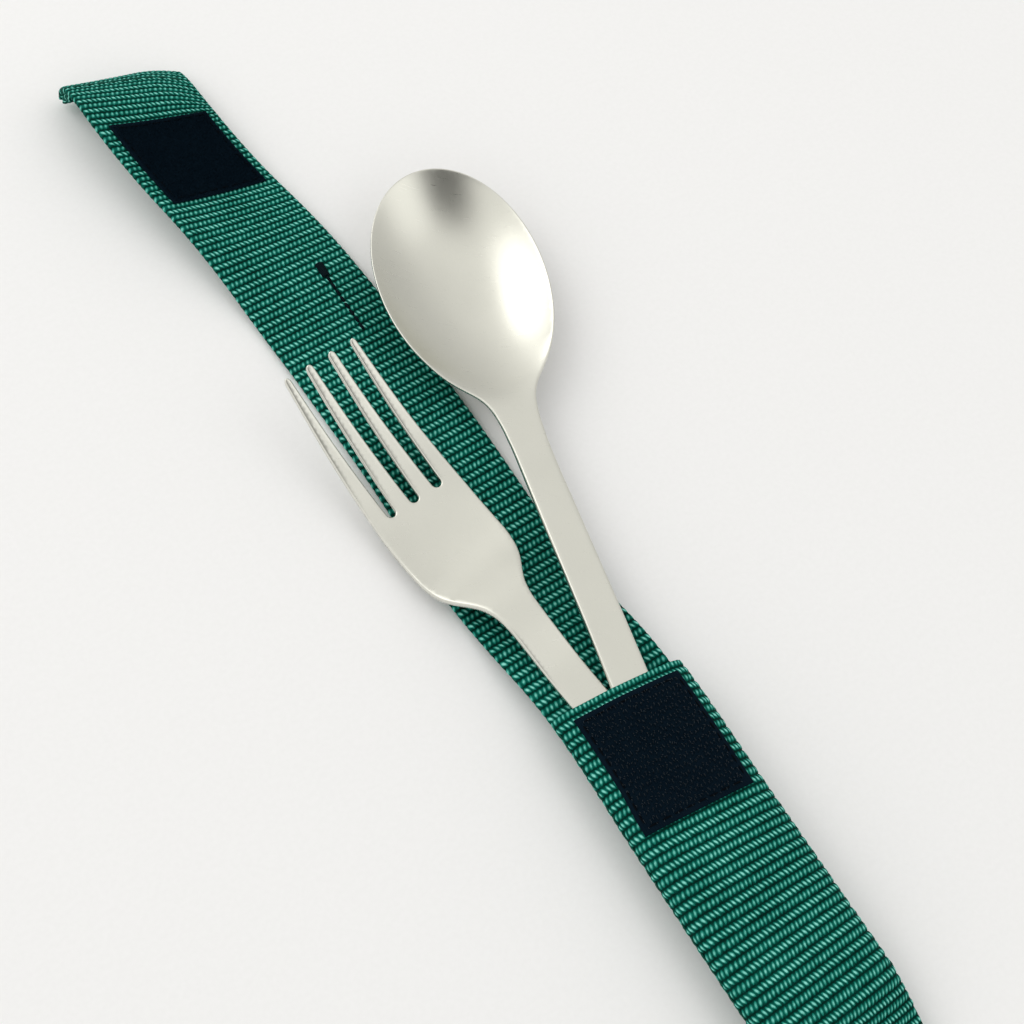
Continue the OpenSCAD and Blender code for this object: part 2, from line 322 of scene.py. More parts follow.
def noise(t, vector, scale, detail=2.0, rough=0.5):
    n = node(t, "ShaderNodeTexNoise", Scale=scale, Detail=detail, Roughness=rough)
    t.links.new(vector, n.inputs["Vector"])
    return V(t, n.outputs["Fac"])


def ramp(t, fac, stops):
    n = t.nodes.new("ShaderNodeValToRGB")
    e = n.color_ramp.elements
    while len(e) < len(stops):
        e.new(0.5)
    for el, (p, c) in zip(e, stops):
        el.position, el.color = p, (*c, 1)
    t.links.new(fac.o, n.inputs[0])
    return n.outputs[0]


def mix(t, fac, a, b, mode="MIX"):
    n = t.nodes.new("ShaderNodeMix")
    n.data_type, n.blend_type = "RGBA", mode
    t.links.new(fac.o, n.inputs[0]) if isinstance(fac, V) else setattr(n.inputs[0], "default_value", fac)
    for i, c in ((6, a), (7, b)):
        if isinstance(c, tuple):
            n.inputs[i].default_value = (*c, 1)
        else:
            t.links.new(c, n.inputs[i])
    return n.outputs[2]


def bump(t, p, height, strength, distance):
    b = node(t, "ShaderNodeBump", Strength=strength, Distance=distance)
    t.links.new(height.o, b.inputs["Height"])
    t.links.new(b.outputs[0], p.inputs["Normal"])


def uvs(t):
    n = t.nodes.new("ShaderNodeUVMap")
    n.uv_map = "weave"
    s = t.nodes.new("ShaderNodeSeparateXYZ")
    t.links.new(n.outputs[0], s.inputs[0])
    return n.outputs[0], V(t, s.outputs[0]), V(t, s.outputs[1])


def webbing_material():
    m, t, p = material("webbing")
    uvv, u, v = uvs(t)
    jit = noise(t, vec(t, u * 0.9, v * 0.9), 1.0, 2.0)
    jit2 = noise(t, vec(t, u * 0.8 + 40.0, v * 0.7), 1.3, 2.0)
    r = v.op("FLOOR")
    fv = (v - r) - 0.5
    fv = fv + (jit2 - 0.5) * 0.22
    odd = r.op("FLOORED_MODULO", 2.0)
    wob = ((u * 1.7 + r * 2.3).op("SINE")) * 0.04
    g = u + odd * 0.5 + wob + (jit - 0.5) * 0.3
    g = g - g.op("FLOOR") - 0.5
    g = g + fv * (odd * -1.2 + 0.72)
    a = g / 0.36
    b = fv / 0.45
    d = a * a + b * b
    m0 = (d * -1.0 + 1.0).clamp()
    rib = (fv * 3.14159).op("COSINE")
    height = m0.op("POWER", 0.5) * (odd * -0.15 + 1.0) * 0.6 + rib * 0.4
    # the top of each yarn, which the colour below makes lighter as a painted sheen highlight
    crest_with_painted_sheen = m0.op("POWER", 0.9) * (odd * -0.18 + 1.0)
    # single filaments inside each yarn, lying along its slant
    fib = noise(t, vec(t, g * 7.0 + u.op("FLOOR") * 3.0, v * 2.6), 1.0, 3.0, 0.6)
    tone = noise(t, vec(t, u * 0.11, v * 0.13), 1.0, 3.0)
    k = (crest_with_painted_sheen * 0.66 + rib * 0.3 + (fib - 0.5) * 0.36 + (tone - 0.5) * 0.2 + (jit2 - 0.5) * 0.3).clamp()
    # colour over the yarn's own green: darker in the gaps between yarns and rows as painted shade, and mint at the
    # crests as painted sheen highlight
    col = ramp(t, k, [(0.0, (0.0, 0.016, 0.011)), (0.2, (0.0002, 0.056, 0.040)), (0.42, (0.003, 0.150, 0.108)),
                      (0.66, (0.03, 0.265, 0.205)), (0.97, (0.26, 0.70, 0.60))])
    t.links.new(col, p.inputs["Base Color"])
    t.links.new(((height * -0.2 + 0.8) + (fib - 0.5) * 0.2).clamp().o, p.inputs["Roughness"])
    p.inputs["Specular IOR Level"].default_value = 0.04
    bump(t, p, height * 0.75 + fib * 0.25, 0.55, 0.00028)
    return m


def thread_material(name, dark, light, rough, sheen=0.1, spec=0.5):
    m, t, p = material(name)
    uvv, u, v = uvs(t)
    tw = ((u * 26.0 + v * 12.566).op("SINE") * 0.5 + 0.5)
    n = noise(t, vec(t, u * 5.0, v * 8.0), 2.0, 3.0)
    k = (tw * 0.6 + n * 0.5).clamp()
    t.links.new(ramp(t, k, [(0.1, dark), (0.9, light)]), p.inputs["Base Color"])
    t.links.new((n * 0.3 + rough).clamp().o, p.inputs["Roughness"])
    p.inputs["Sheen Weight"].default_value = sheen
    p.inputs["Specular IOR Level"].default_value = spec
    bump(t, p, tw, 0.6, 0.0001)
    return m


def tape_material(name, dark, light, shine, rough, spec=0.1):
    """Nylon of the hook and loop tapes, with a fine knitted base."""
    m, t, p = material(name)
    uvv, u, v = uvs(t)
    n1 = noise(t, vec(t, u * 3.0, v * 3.0), 2.0, 4.0, 0.65)
    n2 = noise(t, vec(t, u * 0.2, v * 0.2), 1.0, 2.0)
    knit = ((u * 12.566).op("SINE") * 0.5 + 0.5) * ((v * 21.0).op("SINE") * 0.5 + 0.5)
    k = (n1 * 0.7 + knit * 0.3 + (n2 - 0.5) * 0.5).clamp()
    t.links.new(ramp(t, k, [(0.2, dark), (0.62, light), (0.95, shine)]), p.inputs["Base Color"])
    t.links.new((n1 * 0.25 + rough).clamp().o, p.inputs["Roughness"])
    p.inputs["Specular IOR Level"].default_value = spec
    bump(t, p, n1 * 0.6 + knit * 0.4, 0.5, 0.00012)
    return m


def steel_material():
    m, t, p = material("steel")
    tc = t.nodes.new("ShaderNodeUVMap")
    tc.uv_map = "weave"
    s = t.nodes.new("ShaderNodeSeparateXYZ")
    t.links.new(tc.outputs[0], s.inputs[0])
    u, v = V(t, s.outputs[0]), V(t, s.outputs[1])         # mm across and along the piece
    grain = noise(t, vec(t, u * 9.0, v * 0.55), 1.0, 4.0, 0.6)       # brushed along its length
    fine = noise(t, vec(t, u * 2.2, v * 2.2), 3.0, 3.0, 0.7)         # satin grain
    cloud = noise(t, vec(t, u * 0.05, v * 0.04), 1.0, 3.0)
    scr = noise(t, vec(t, u * 0.9 + v * 2.1, v * 0.12 - u * 0.05), 1.0, 2.0, 0.9)
    scratch = ((scr - 0.63) * 9.0).clamp()                # few long fine scratches
    e = t.nodes.new("ShaderNodeAttribute")
    e.attribute_name = "edge"
    edge = V(t, e.outputs["Fac"])                         # 1 on the rim, 0 inside
    # the rim: rubbed smoother as wear, and painted lighter as a highlight
    rim_wear_and_highlight = (edge * (fine * 0.5 + 0.1)).clamp()
    base = ramp(t, (cloud * 0.6 + grain * 0.4).clamp(), [(0.3, (0.62, 0.617, 0.553)), (0.7, (0.68, 0.675, 0.607))])
    # painted highlight: the rim's base colour is mixed towards light grey
    col = mix(t, rim_wear_and_highlight, base, (0.82, 0.81, 0.77))
    t.links.new(col, p.inputs["Base Color"])
    p.inputs["Metallic"].default_value = 1.0
    r = ((grain - 0.5) * 0.14 + (fine - 0.5) * 0.10 + (cloud - 0.5) * 0.12 + 0.32) - scratch * 0.1 - rim_wear_and_highlight * 0.14
    t.links.new(r.clamp().o, p.inputs["Roughness"])
    bump(t, p, grain * 0.5 + fine * 0.35 - scratch * 0.35, 0.16, 0.00006)
    return m


WEB = webbing_material()
THREAD = thread_material("thread", (0.0006, 0.03, 0.022), (0.002, 0.10, 0.066), 0.6, 0.0, 0.15)
TACK = thread_material("tack_thread", (0.0004, 0.003, 0.005), (0.0008, 0.009, 0.013), 0.6, 0.0, 0.08)
HOOK = tape_material("hook_nylon", (0.0010, 0.0048, 0.0098), (0.0028, 0.0085, 0.0150), (0.005, 0.011, 0.018), 0.7, 0.03)
HOOKS = tape_material("hook_monofilament", (0.0008, 0.0042, 0.0085), (0.003, 0.009, 0.015), (0.14, 0.19, 0.19), 0.2, 0.35)
LOOP = tape_material("loop_pile", (0.0012, 0.0052, 0.0100), (0.003, 0.0090, 0.0160), (0.005, 0.013, 0.021), 0.85, 0.04)
TAPE_THREAD = thread_material("tape_thread", (0.0006, 0.0012, 0.0024), (0.0016, 0.003, 0.0052), 0.7, 0.0, 0.06)
STEEL = steel_material()

# ---------------------------------------------------------------- the strap
ARCH_L = 78.0


def under(y):
    return np.where(y < -ARCH_L, LIFT * (y - POCKET_END) / (-ARCH_L - POCKET_END), LIFT * (1 - ease((y - 6) / 34)))


FLAP_L, FLAP_R = 8.0, 1.5


def z_left(y):
    return FLAP_L * ease((y - 116) / 40) + 4 * ease((y - 150) / 36)


def z_right(y):
    return FLAP_R * ease((y - 118) / 36) + 3 * ease((y - 152) / 36)


drift_back = table([(-97, -1.4), (-63, -0.4), (-30, 0.8), (-7, 2.0), (6, 1.9), (20, 0.6), (40, -0.3), (60, 0.5), (75, 1.0), (108, 0.7), (122, 0.0), (150, 0), (210, 0)], 5, -100, 205)


def drift(y):
    return drift_back(y) - 8 * ease((y - 118) / 70)


def strap_surface(s, x):
    """Underside of the strap's layer that runs from the pocket to the tip."""
    a = np.clip((s - CURL) / 15, 0, 1) * math.radians(84)
    y = np.where(s <= CURL, s, CURL + 15 * np.sin(a))
    sc = np.minimum(s, CURL)
    zl = 0.3 + (z_left(sc) + 0.02 - 0.3) * np.cos(a)
    zr = 0.3 + (z_right(sc) + 0.02 - 0.3) * np.cos(a)
    u = (x + HW) / (2 * HW)
    flap = zl + u * (zr - zl)
    # the free flap is softly hollow across, and the laid part lifts a little along its edges
    flap = flap - 0.7 * ease((s - 126) / 24) * (1 - ease((s - 176) / 12)) * (1 - (x / HW) ** 2)
    flat = under(s) + 0.16 * ease((s - 36) / 8) * (np.sin(s * 0.11) * 0.5 + 0.5) * (x / HW) ** 2
    z = np.where(s < 118, flat, flap + 0.16 * (np.sin(118 * 0.11) * 0.5 + 0.5) * (x / HW) ** 2 * (1 - ease((s - 118) / 10)))
    # the free end is pulled askew, and its right corner turns down first
    y = y - x * (0.05 * ease((s - 136) / 20) + 0.11 * ease((s - 174) / 14))
    corner = np.clip((x - 4) / 11, 0, 1) ** 2 * ease((s - 176) / 14)
    y, z = y - 2.6 * corner, z * (1 - 0.3 * corner)
    return np.stack([x + drift(sc), y, z], -1)


strap = Cloth(strap_surface, np.concatenate([np.arange(POCKET_END, 186, 0.5), np.arange(186, 201.01, 0.5)]), np.linspace(-15, 15, 41))
S_ST = 0.31


def strap_piece(name, a, b, lo, hi, step=S_ST, per_dot=4):
    vv, ff, uu = band(strap, rows(a, b, step), HW, T, T / 2, 0.34, 0.30, per_dot, round_lo=lo, round_hi=hi)
    return make(name, vv, ff, WEB, None, uv=uu)


B0, B1, B2 = -4.0, 131.0, 168.0
back = strap_piece("strap_under_pocket", POCKET_END, B0, True, False)
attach(back, "strap")
BM = 62.0
middle = strap_piece("strap_by_the_mouth", B0, BM, False, False)
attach(middle, "strap")
front = strap_piece("strap_laid", BM, B1, False, False)
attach(front, "strap")
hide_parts("back_webbing", "strap_riser")
fold = strap_piece("strap_fold", B1, B2, False, False)
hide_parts("flap_webbing")
tip = strap_piece("strap_tip", B2, 201.0, False, True, S_ST * 0.8)
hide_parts("tip_webbing")

# ---------------------------------------------------------------- the pocket's front layer
FT = 1.6
Q = np.linspace(-1, 1, 121)


def pocket_profile(s):
    """Middle of the front layer across the strap at s, as x and z at even steps."""
    b = 1 - ease((-s - 73) / 19)                                   # 1 where it is open, 0 where it is flat
    foot = under(np.array(s)) + T + FT / 2
    rise = (TOP - FT / 2 - (LIFT + T + FT / 2)) * b
    th = np.linspace(0, math.pi, 241)
    c, sn = np.cos(th), np.sin(th)
    x = -np.sign(c) * np.abs(c) ** (0.5 * b + 1.0 * (1 - b)) * (HW - 0.1)
    z = foot + rise * np.abs(sn) ** (0.62 * b + 1.0 * (1 - b))
    # lower on the left near the mouth, where only the fork's handle lies under it; clear of the spoon's end further in
    near = 1 - ease((-s - 18) / 12)
    z = z - 1.1 * near * b * ease((-x - 1.0) / 9.0) * np.clip((z - foot) / 4.0, 0, 1)
    # a soft hollow between the two handles, deeper away from the mouth
    z = z - 0.35 * near * b * np.exp(-((x + 2.0) / 2.6) ** 2) * ease((-s - 3) / 20)
    L = np.concatenate([[0], np.cumsum(np.hypot(np.diff(x), np.diff(z)))])
    q = (Q + 1) / 2 * L[-1]
    return np.interp(q, L, x), np.interp(q, L, z)


def pocket_surface(S, X):
    out = np.empty(S.shape + (3,))
    for i, s in enumerate(S[:, 0]):
        px, pz = pocket_profile(s)
        x = np.interp(X[i], Q, px)
        z = np.interp(X[i], Q, pz)
        skew = -0.125 * x * (1 - ease((-s - 30) / 45))             # the mouth is sewn slightly askew
        out[i, :, 0] = x + drift(s)
        out[i, :, 1] = s + skew
        out[i, :, 2] = z
    return out


pocket = Cloth(pocket_surface, np.concatenate([np.arange(POCKET_END, -0.5, 0.75), [0.0]]), Q)
ARC = 18.0                                                        # half the front layer's width along its curve


def to_q(S, X):
    return X / ARC


pv, pf, pu = band(pocket, rows(POCKET_END + 0.4, 0.6, S_ST), ARC, FT, 0.0, 0.34, 0.12, 4, x_in=to_q, round_lo=True, round_hi=True, dot=0.966)
front_layer = make("pocket_front_layer", pv, pf, WEB, "strap", uv=pu)
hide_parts("pocket_front")


def q_of(x, s=-16.0):
    """Where on the pocket's curve a point x mm across lies."""
    px, pz = pocket_profile(s)
    return float(np.interp(x, px, Q))


# stitched edges of the pocket
def pocket_edge(side, name, node_name):
    segs = []
    for s in np.arange(-ARCH_L + 1.5, -1.6, 3.0):
        q = side * 0.925
        p, n = pocket.at(s, q, FT / 2 + 0.06)
        e, _ = pocket.at(s + 2.1, q, FT / 2 + 0.06)
        segs.append((p, e, n))
    ob = threads(name, segs, 0.24, THREAD, "strap")
    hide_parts(node_name)


pocket_edge(-1, "stitches_left", "pocket_seam_left")
pocket_edge(1, "stitches_right", "pocket_seam_right")
segs = []
for s, x0, x1 in ((POCKET_END + 2.8, -13, 13), (POCKET_END + 5.0, -13, 13)):
    for x in np.arange(x0, x1 - 1, 2.9):
        p, n = pocket.at(s, x / 15.0, FT / 2 + 0.1)
        e, _ = pocket.at(s, (x + 2.0) / 15.0, FT / 2 + 0.1)
        segs.append((p, e, n))
ob = threads("stitches_pocket_end", segs, 0.33, THREAD, "strap")
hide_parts("pocket_end_seam")

# ---------------------------------------------------------------- hook tape
def tape_band(cloth, s0, s1, x0, x1, h0, thick, scale, name, mat, body, step=0.8):
    """A knitted tape lying on a cloth, its edges rounded. x0 and x1 are in the cloth's own units."""
    s = rows(s0, s1, step)
    n = int((x1 - x0) / scale / step)
    r = thick / 2
    s = np.concatenate([s[0] + r * (1 - np.cos(np.linspace(0, math.pi / 2, 4)[:-1])), s[1:-1], s[-1] - r * (1 - np.cos(np.linspace(math.pi / 2, 0, 4)[1:]))])
    xt = np.linspace(x0 + r * scale, x1 - r * scale, n + 1)
    ang = np.linspace(90, -90, EDGE + 2)[1:-1] * math.pi / 180
    rx = np.concatenate([xt, x1 - r * scale + r * scale * np.cos(ang), xt[::-1], x0 + r * scale - r * scale * np.cos(ang)])
    rh = np.concatenate([np.full(n + 1, r), r * np.sin(ang), np.full(n + 1, -r), -r * np.sin(ang)])
    S, X = np.meshgrid(s, rx, indexing="ij")
    sq = np.sqrt(np.clip(1 - (1 - np.clip(np.minimum(s - s[0], s[-1] - s) / r, 0, 1)) ** 2, 0.03, 1))
    wav = 0.05 * np.sin(X / scale * 1.9) * np.sin(S * 1.7)
    H = (np.broadcast_to(rh, S.shape)) * sq[:, None] + h0 + r + np.where(np.broadcast_to(rh, S.shape) > 0, wav, 0)
    P, _ = cloth.at(S, X, H)
    return make(name, P.reshape(-1, 3), tube_faces(len(s), len(rx), n + 1, EDGE), mat, body,
                uv=np.stack([X / scale, S], -1).reshape(-1, 2))


qa, qb = q_of(-TAPE_HW + 0.3), q_of(TAPE_HW - 0.3)
QS = 1 / ARC
hook_base = tape_band(pocket, TAPE_LO, TAPE_HI, qa, qb, FT / 2 - 0.05, 0.75, QS, "hook_tape_base", HOOK, "strap")
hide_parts("hook_tape")


def tubes(name, lines, radius, sides, mat, body, taper=False):
    """Thin open-ended filaments, closed at both ends. lines is (n, k, 3) centre lines."""
    lines = np.asarray(lines, float)
    n, k, _ = lines.shape
    d = np.gradient(lines, axis=1)
    d /= np.linalg.norm(d, axis=2, keepdims=True)
    ref = np.cross(lines[:, -1] - lines[:, 0], lines[:, k // 2] - lines[:, 0])
    bad = np.linalg.norm(ref, axis=1) < 1e-9
    ref[bad] = [1.0, 0, 0]
    ref /= np.linalg.norm(ref, axis=1, keepdims=True)
    ref = np.broadcast_to(ref[:, None], d.shape)
    b = np.cross(d, ref)
    b /= np.linalg.norm(b, axis=2, keepdims=True)
    rad = np.broadcast_to(np.asarray(radius, float).reshape(-1, 1, 1), (n, 1, 1))
    if taper:
        rad = rad * (1 - 0.45 * np.linspace(0, 1, k))[None, :, None]
    a = 2 * math.pi * np.arange(sides) / sides
    P = lines[:, :, None] + rad[..., None] * (np.cos(a)[None, None, :, None] * ref[:, :, None] + np.sin(a)[None, None, :, None] * b[:, :, None])
    P = P.reshape(-1, 3)
    faces = []
    for m in range(n):
        o = m * k * sides
        for i in range(k - 1):
            for j in range(sides):
                jj = (j + 1) % sides
                faces.append((o + i * sides + j, o + i * sides + jj, o + (i + 1) * sides + jj, o + (i + 1) * sides + j))
        faces.append([o + j for j in range(sides)][::-1])
        faces.append([o + (k - 1) * sides + j for j in range(sides)])
    uv = np.stack([np.repeat(rng.random(n) * 90, k * sides), np.tile(np.repeat(np.linspace(0, 2, k), sides), n)], -1)
    return make(name, P, faces, mat, body, uv=uv)


# rows of woven hooks, each a stub that rises and bends over
lines = []
for i, s in enumerate(np.arange(TAPE_LO + 1.3, TAPE_HI - 1.0, 0.86)):
    for j, q in enumerate(np.arange(qa + 1.3 * QS, qb - 1.2 * QS, 0.80 * QS)):
        ss = s + rng.normal(0, 0.09) + 0.43 * (j % 2)
        qq = q + rng.normal(0, 0.07) * QS
        if ss > TAPE_HI - 0.8:
            continue
        o, n = pocket.at(ss, qq, FT / 2 + 0.62)
        o, n = o.reshape(3), n.reshape(3)
        lean = np.array([rng.normal(0, 0.16), (1 if (i + j) % 2 else -1) * (0.34 + rng.normal(0, 0.05)), 0])
        hgt = 0.72 + rng.normal(0, 0.05)
        t = np.linspace(0, 1, 6)
        up = np.sin(t * 2.2) / math.sin(1.57)
        lines.append(o + n * (hgt * up)[:, None] + lean * (1 - np.cos(t * 2.2))[:, None] * 0.75)
tubes("hook_tape_hooks", lines, 0.085, 4, HOOKS, "strap")

segs = []
for s in (TAPE_HI - 1.3, TAPE_LO + 1.3):
    for q in np.arange(qa + 1.6 * QS, qb - 2.6 * QS, 2.7 * QS):
        p, n = pocket.at(s, q, FT / 2 + 0.72)
        e, _ = pocket.at(s, q + 1.9 * QS, FT / 2 + 0.72)
        segs.append((p.reshape(3), e.reshape(3), n.reshape(3)))
for q in (qa + 1.0 * QS, qb - 1.0 * QS):
    for s in np.arange(TAPE_LO + 2.4, TAPE_HI - 3.2, 2.7):
        p, n = pocket.at(s, q, FT / 2 + 0.72)
        e, _ = pocket.at(s + 1.9, q, FT / 2 + 0.72)
        segs.append((p.reshape(3), e.reshape(3), n.reshape(3)))
ob = threads("stitches_hook_tape", segs, 0.2, TAPE_THREAD, "strap")
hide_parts("hook_tape_stitching")

# ---------------------------------------------------------------- loop tape
LOOP_LO = mm("loop_tape")[0][1] - Y0
LOOP_HI = mm("loop_tape")[1][1] - Y0


def loop_x(S, X):
    return X


loop_base = tape_band(strap, LOOP_LO + 0.3, LOOP_HI - 0.2, -TAPE_HW, TAPE_HW, T + 0.06, 0.65, 1.0, "loop_tape_base", LOOP, None)
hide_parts("loop_tape")
lines = []
for s in np.arange(LOOP_LO + 0.7, LOOP_HI - 0.6, 0.47):
    for x in np.arange(-TAPE_HW + 0.5, TAPE_HW - 0.4, 0.47):
        o, n = strap.at(s + rng.normal(0, 0.12), x + rng.normal(0, 0.12), T + 0.62)
        o, n = o.reshape(3), n.reshape(3)
        a = rng.random() * 2 * math.pi
        d = np.array([math.cos(a), math.sin(a), 0.0])
        d -= n * (d @ n)
        w, h = 0.34 + 0.2 * rng.random(), 0.42 + 0.24 * rng.random()
        t = np.linspace(0, math.pi, 6)
        lines.append(o + d * (-w * np.cos(t))[:, None] + n * (h * np.sin(t))[:, None] + np.cross(d, n) * (0.15 * rng.normal() * np.sin(t))[:, None])
pile = tubes("loop_tape_pile", lines, 0.045, 3, LOOP, None)
segs = []
for s in (LOOP_LO + 1.5, LOOP_HI - 1.5):
    for x in np.arange(-10.6, 9.6, 2.8):
        p, n = strap.at(s, x, T + 0.74)
        e, _ = strap.at(s, x + 2.0, T + 0.74)
        segs.append((p.reshape(3), e.reshape(3), n.reshape(3)))
for x in (-11.1, 11.1):
    for s in np.arange(LOOP_LO + 2.6, LOOP_HI - 4, 2.8):
        p, n = strap.at(s, x, T + 0.74)
        e, _ = strap.at(s + 2.0, x, T + 0.74)
        segs.append((p.reshape(3), e.reshape(3), n.reshape(3)))
loop_thread = threads("stitches_loop_tape", segs, 0.2, TAPE_THREAD, None)
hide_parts("loop_tape_stitching")

# ---------------------------------------------------------------- the tip's hem and the bar tack
hs = rows(191.8, 200.6, S_ST)
hv, hf, hu = band(strap, hs, HW - 0.4, 1.4, -0.75, 0.1, 0.26, 4, round_lo=True, round_hi=True)
hem = make("tip_hem", hv, hf, WEB, "flap_tip", uv=hu)
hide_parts("tip_end_hem")
segs = []
for x in np.arange(-13, 12, 2.9):
    p, n = strap.at(192.8, x, T + 0.16)
    e, _ = strap.at(192.8, x + 2.0, T + 0.16)
    segs.append((p.reshape(3), e.reshape(3), n.reshape(3)))
ob = threads("stitches_tip", segs, 0.33, THREAD, "flap_tip")
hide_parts("tip_end_stitching")

segs = []
for k in range(9):                                             # dense zigzag of the tack itself
    sy = 128.4 - 0.42 * k
    x = 7.1 - 0.05 * k
    p, n = strap.at(sy, x - 1.0, T + 0.14)
    e, _ = strap.at(sy - 0.2, x + 1.0, T + 0.14)
    segs.append((p.reshape(3), e.reshape(3), n.reshape(3)))
for k in range(8):                                             # and the line of stitches that runs down from it
    sy = 124.6 - 2.2 * k
    x = 6.7 - 0.13 * k
    p, n = strap.at(sy, x, T + 0.14)
    e, _ = strap.at(sy - 1.9, x - 0.05, T + 0.14)
    segs.append((p.reshape(3), e.reshape(3), n.reshape(3)))
ob = threads("bar_tack", segs, 0.42, TACK, "strap")
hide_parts("back_bar_tack")

# ---------------------------------------------------------------- cutlery
def dense(poly, step):
    p = np.asarray(poly, float)
    q = np.vstack([p, p[:1]])
    L = np.concatenate([[0], np.cumsum(np.linalg.norm(np.diff(q, axis=0), axis=1))])
    s = np.linspace(0, L[-1], int(L[-1] / step) + 1)[:-1]
    return np.stack([np.interp(s, L, q[:, 0]), np.interp(s, L, q[:, 1])], -1)


def plate(name, outline, top, bottom, radius, spacing, body, place, replaced, seed_grid=None):
    """A plate of rounded-edged metal between two height functions, over a plan outline in mm."""
    o = dense(outline, 0.42)
    if np.sum(o[:, 0] * np.roll(o[:, 1], -1) - np.roll(o[:, 0], -1) * o[:, 1]) < 0:
        o = o[::-1]
    tan = np.roll(o, -1, 0) - np.roll(o, 1, 0)
    tan /= np.linalg.norm(tan, axis=1, keepdims=True)
    nin = np.stack([-tan[:, 1], tan[:, 0]], -1)
    r = radius(o[:, 1])
    angs = np.radians([0, 24, 48, 70, 90])
    pts, dist, drop = [], [], []
    for ang in angs:
        pts.append(o + nin * (r * (1 - math.cos(ang)))[:, None])
        dist.append(r * (1 - math.cos(ang)))
        drop.append(1 - math.sin(ang) + 0 * r)
    lo, hi = o.min(0), o.max(0)
    h = spacing * math.sqrt(3) / 2
    g = []
    for i, y in enumerate(np.arange(lo[1] + h, hi[1], h)):
        xs = np.arange(lo[0] - (i % 2) * spacing / 2, hi[0], spacing)
        g.append(np.stack([xs, np.full(len(xs), y)], -1))
    g = np.vstack(g)
    # inside test, and distance to the outline
    inside = np.zeros(len(g), bool)
    a, b = o, np.roll(o, -1, 0)
    for k in range(0, len(g), 1500):
        q = g[k:k + 1500, None]
        cond = (a[None, :, 1] > q[..., 1]) != (b[None, :, 1] > q[..., 1])
        xx = (b[None, :, 0] - a[None, :, 0]) * (q[..., 1] - a[None, :, 1]) / (b[None, :, 1] - a[None, :, 1] + 1e-12) + a[None, :, 0]
        odd = np.sum(cond & (q[..., 0] < xx), 1) % 2 == 1
        dd = np.sqrt(((q - o[None]) ** 2).sum(2)).min(1)
        inside[k:k + 1500] = odd & (dd > radius(g[k:k + 1500, 1]) + 0.3 * spacing)
    g = g[inside]
    ring = len(o)
    allp = np.vstack(pts + [g])
    fall = np.concatenate(drop + [np.zeros(len(g))])
    # a ring point may cross into the next tine's ring where metal is narrow; the outline bounds them all
    res = delaunay_2d_cdt([Vector(p) for p in allp.tolist()], [], [list(range(ring))], 1, 1e-5, True)
    vo, fo, orig = res[0], res[2], res[3]
    P = np.array([(v.x, v.y) for v in vo])
    src = np.array([x[0] if len(x) else -1 for x in orig])
    fl = np.where(src >= 0, fall[src], 0.0)
    rim = (src >= 0) & (src < ring)
    rr = radius(P[:, 1])
    zt, zb = top(P[:, 0], P[:, 1]), bottom(P[:, 0], P[:, 1])
    rr = np.minimum(rr, (zt - zb) / 2)
    half = (zt - zb) / 2
    up = zt - half * fl
    dn = zb + half * fl
    up[rim] = dn[rim] = ((zt + zb) / 2)[rim]
    n = len(P)
    low = np.arange(n) + n
    low[rim] = np.arange(n)[rim]
    verts = np.vstack([np.column_stack([P, up]), np.column_stack([P, dn])])
    keep = np.ones(2 * n, bool)
    keep[n:][rim] = False
    new = np.cumsum(keep) - 1
    # only the triangles inside the outline are metal
    mids = np.array([P[list(f)].mean(0) for f in fo])
    ok = np.zeros(len(mids), bool)
    for k in range(0, len(mids), 1500):
        q = mids[k:k + 1500, None]
        cond = (a[None, :, 1] > q[..., 1]) != (b[None, :, 1] > q[..., 1])
        xx = (b[None, :, 0] - a[None, :, 0]) * (q[..., 1] - a[None, :, 1]) / (b[None, :, 1] - a[None, :, 1] + 1e-12) + a[None, :, 0]
        ok[k:k + 1500] = np.sum(cond & (q[..., 0] < xx), 1) % 2 == 1
    faces = []
    for f, inner in zip(fo, ok):
        if not inner or rim[list(f)].all():                       # between rim points there is no thickness
            continue
        f = list(f)
        q = P[f]
        if np.sum(q[:, 0] * np.roll(q[:, 1], -1) - np.roll(q[:, 0], -1) * q[:, 1]) < 0:
            f = f[::-1]
        faces.append([int(new[i]) for i in f])
        faces.append([int(new[low[i]]) for i in f[::-1]])
    verts = verts[keep]
    uv = verts[:, :2].copy()
    edge = np.concatenate([fl, fl])[keep]
    c, s_ = math.cos(math.radians(place[3])), math.sin(math.radians(place[3]))
    W = np.stack([verts[:, 0] * c - verts[:, 1] * s_ + place[0], verts[:, 0] * s_ + verts[:, 1] * c + place[1], verts[:, 2] + place[2]], -1)
    ob = make(name, W, faces, STEEL, body, uv=uv, attrs={"edge": np.clip(edge * 1.3, 0, 1)})
    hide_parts(replaced)
    return ob


SPOON_TOP = mm("spoon")[1]
FORK_TOP = mm("fork")[1]
FZ = FLOOR_Z + 0.25
SZ = FZ + 1.9 + 0.3

fork_half = table([(-72, 4.5), (-60, 4.6), (0, 4.4), (22, 4.4), (27, 4.7), (31, 5.8), (34, 7.8), (37, 9.9), (40, 11.2), (44, 11.9), (50, 12), (58, 11.9), (70, 11.3), (84, 10.5), (98, 9.7)], 1.2, -72, 98)
fork_low = table([(-72, 0), (10, 0), (17, 1.1), (24, 2.2), (29, 2), (34, 0.4), (39, -2), (44, -3.3), (50, -3.7), (57, -3.4), (66, -2), (74, 0.2), (82, 2.8), (90, 6.2), (98, 10.0), (104, 12.9)], 2.4, -72, 98)


def fork_t(y):
    s = (fork_low(y + 1) - fork_low(y - 1)) / 2
    return (1.9 - 0.5 * ease((y - 30) / 30)) * np.sqrt(1 + s * s)


SLOT_Y = 62.5


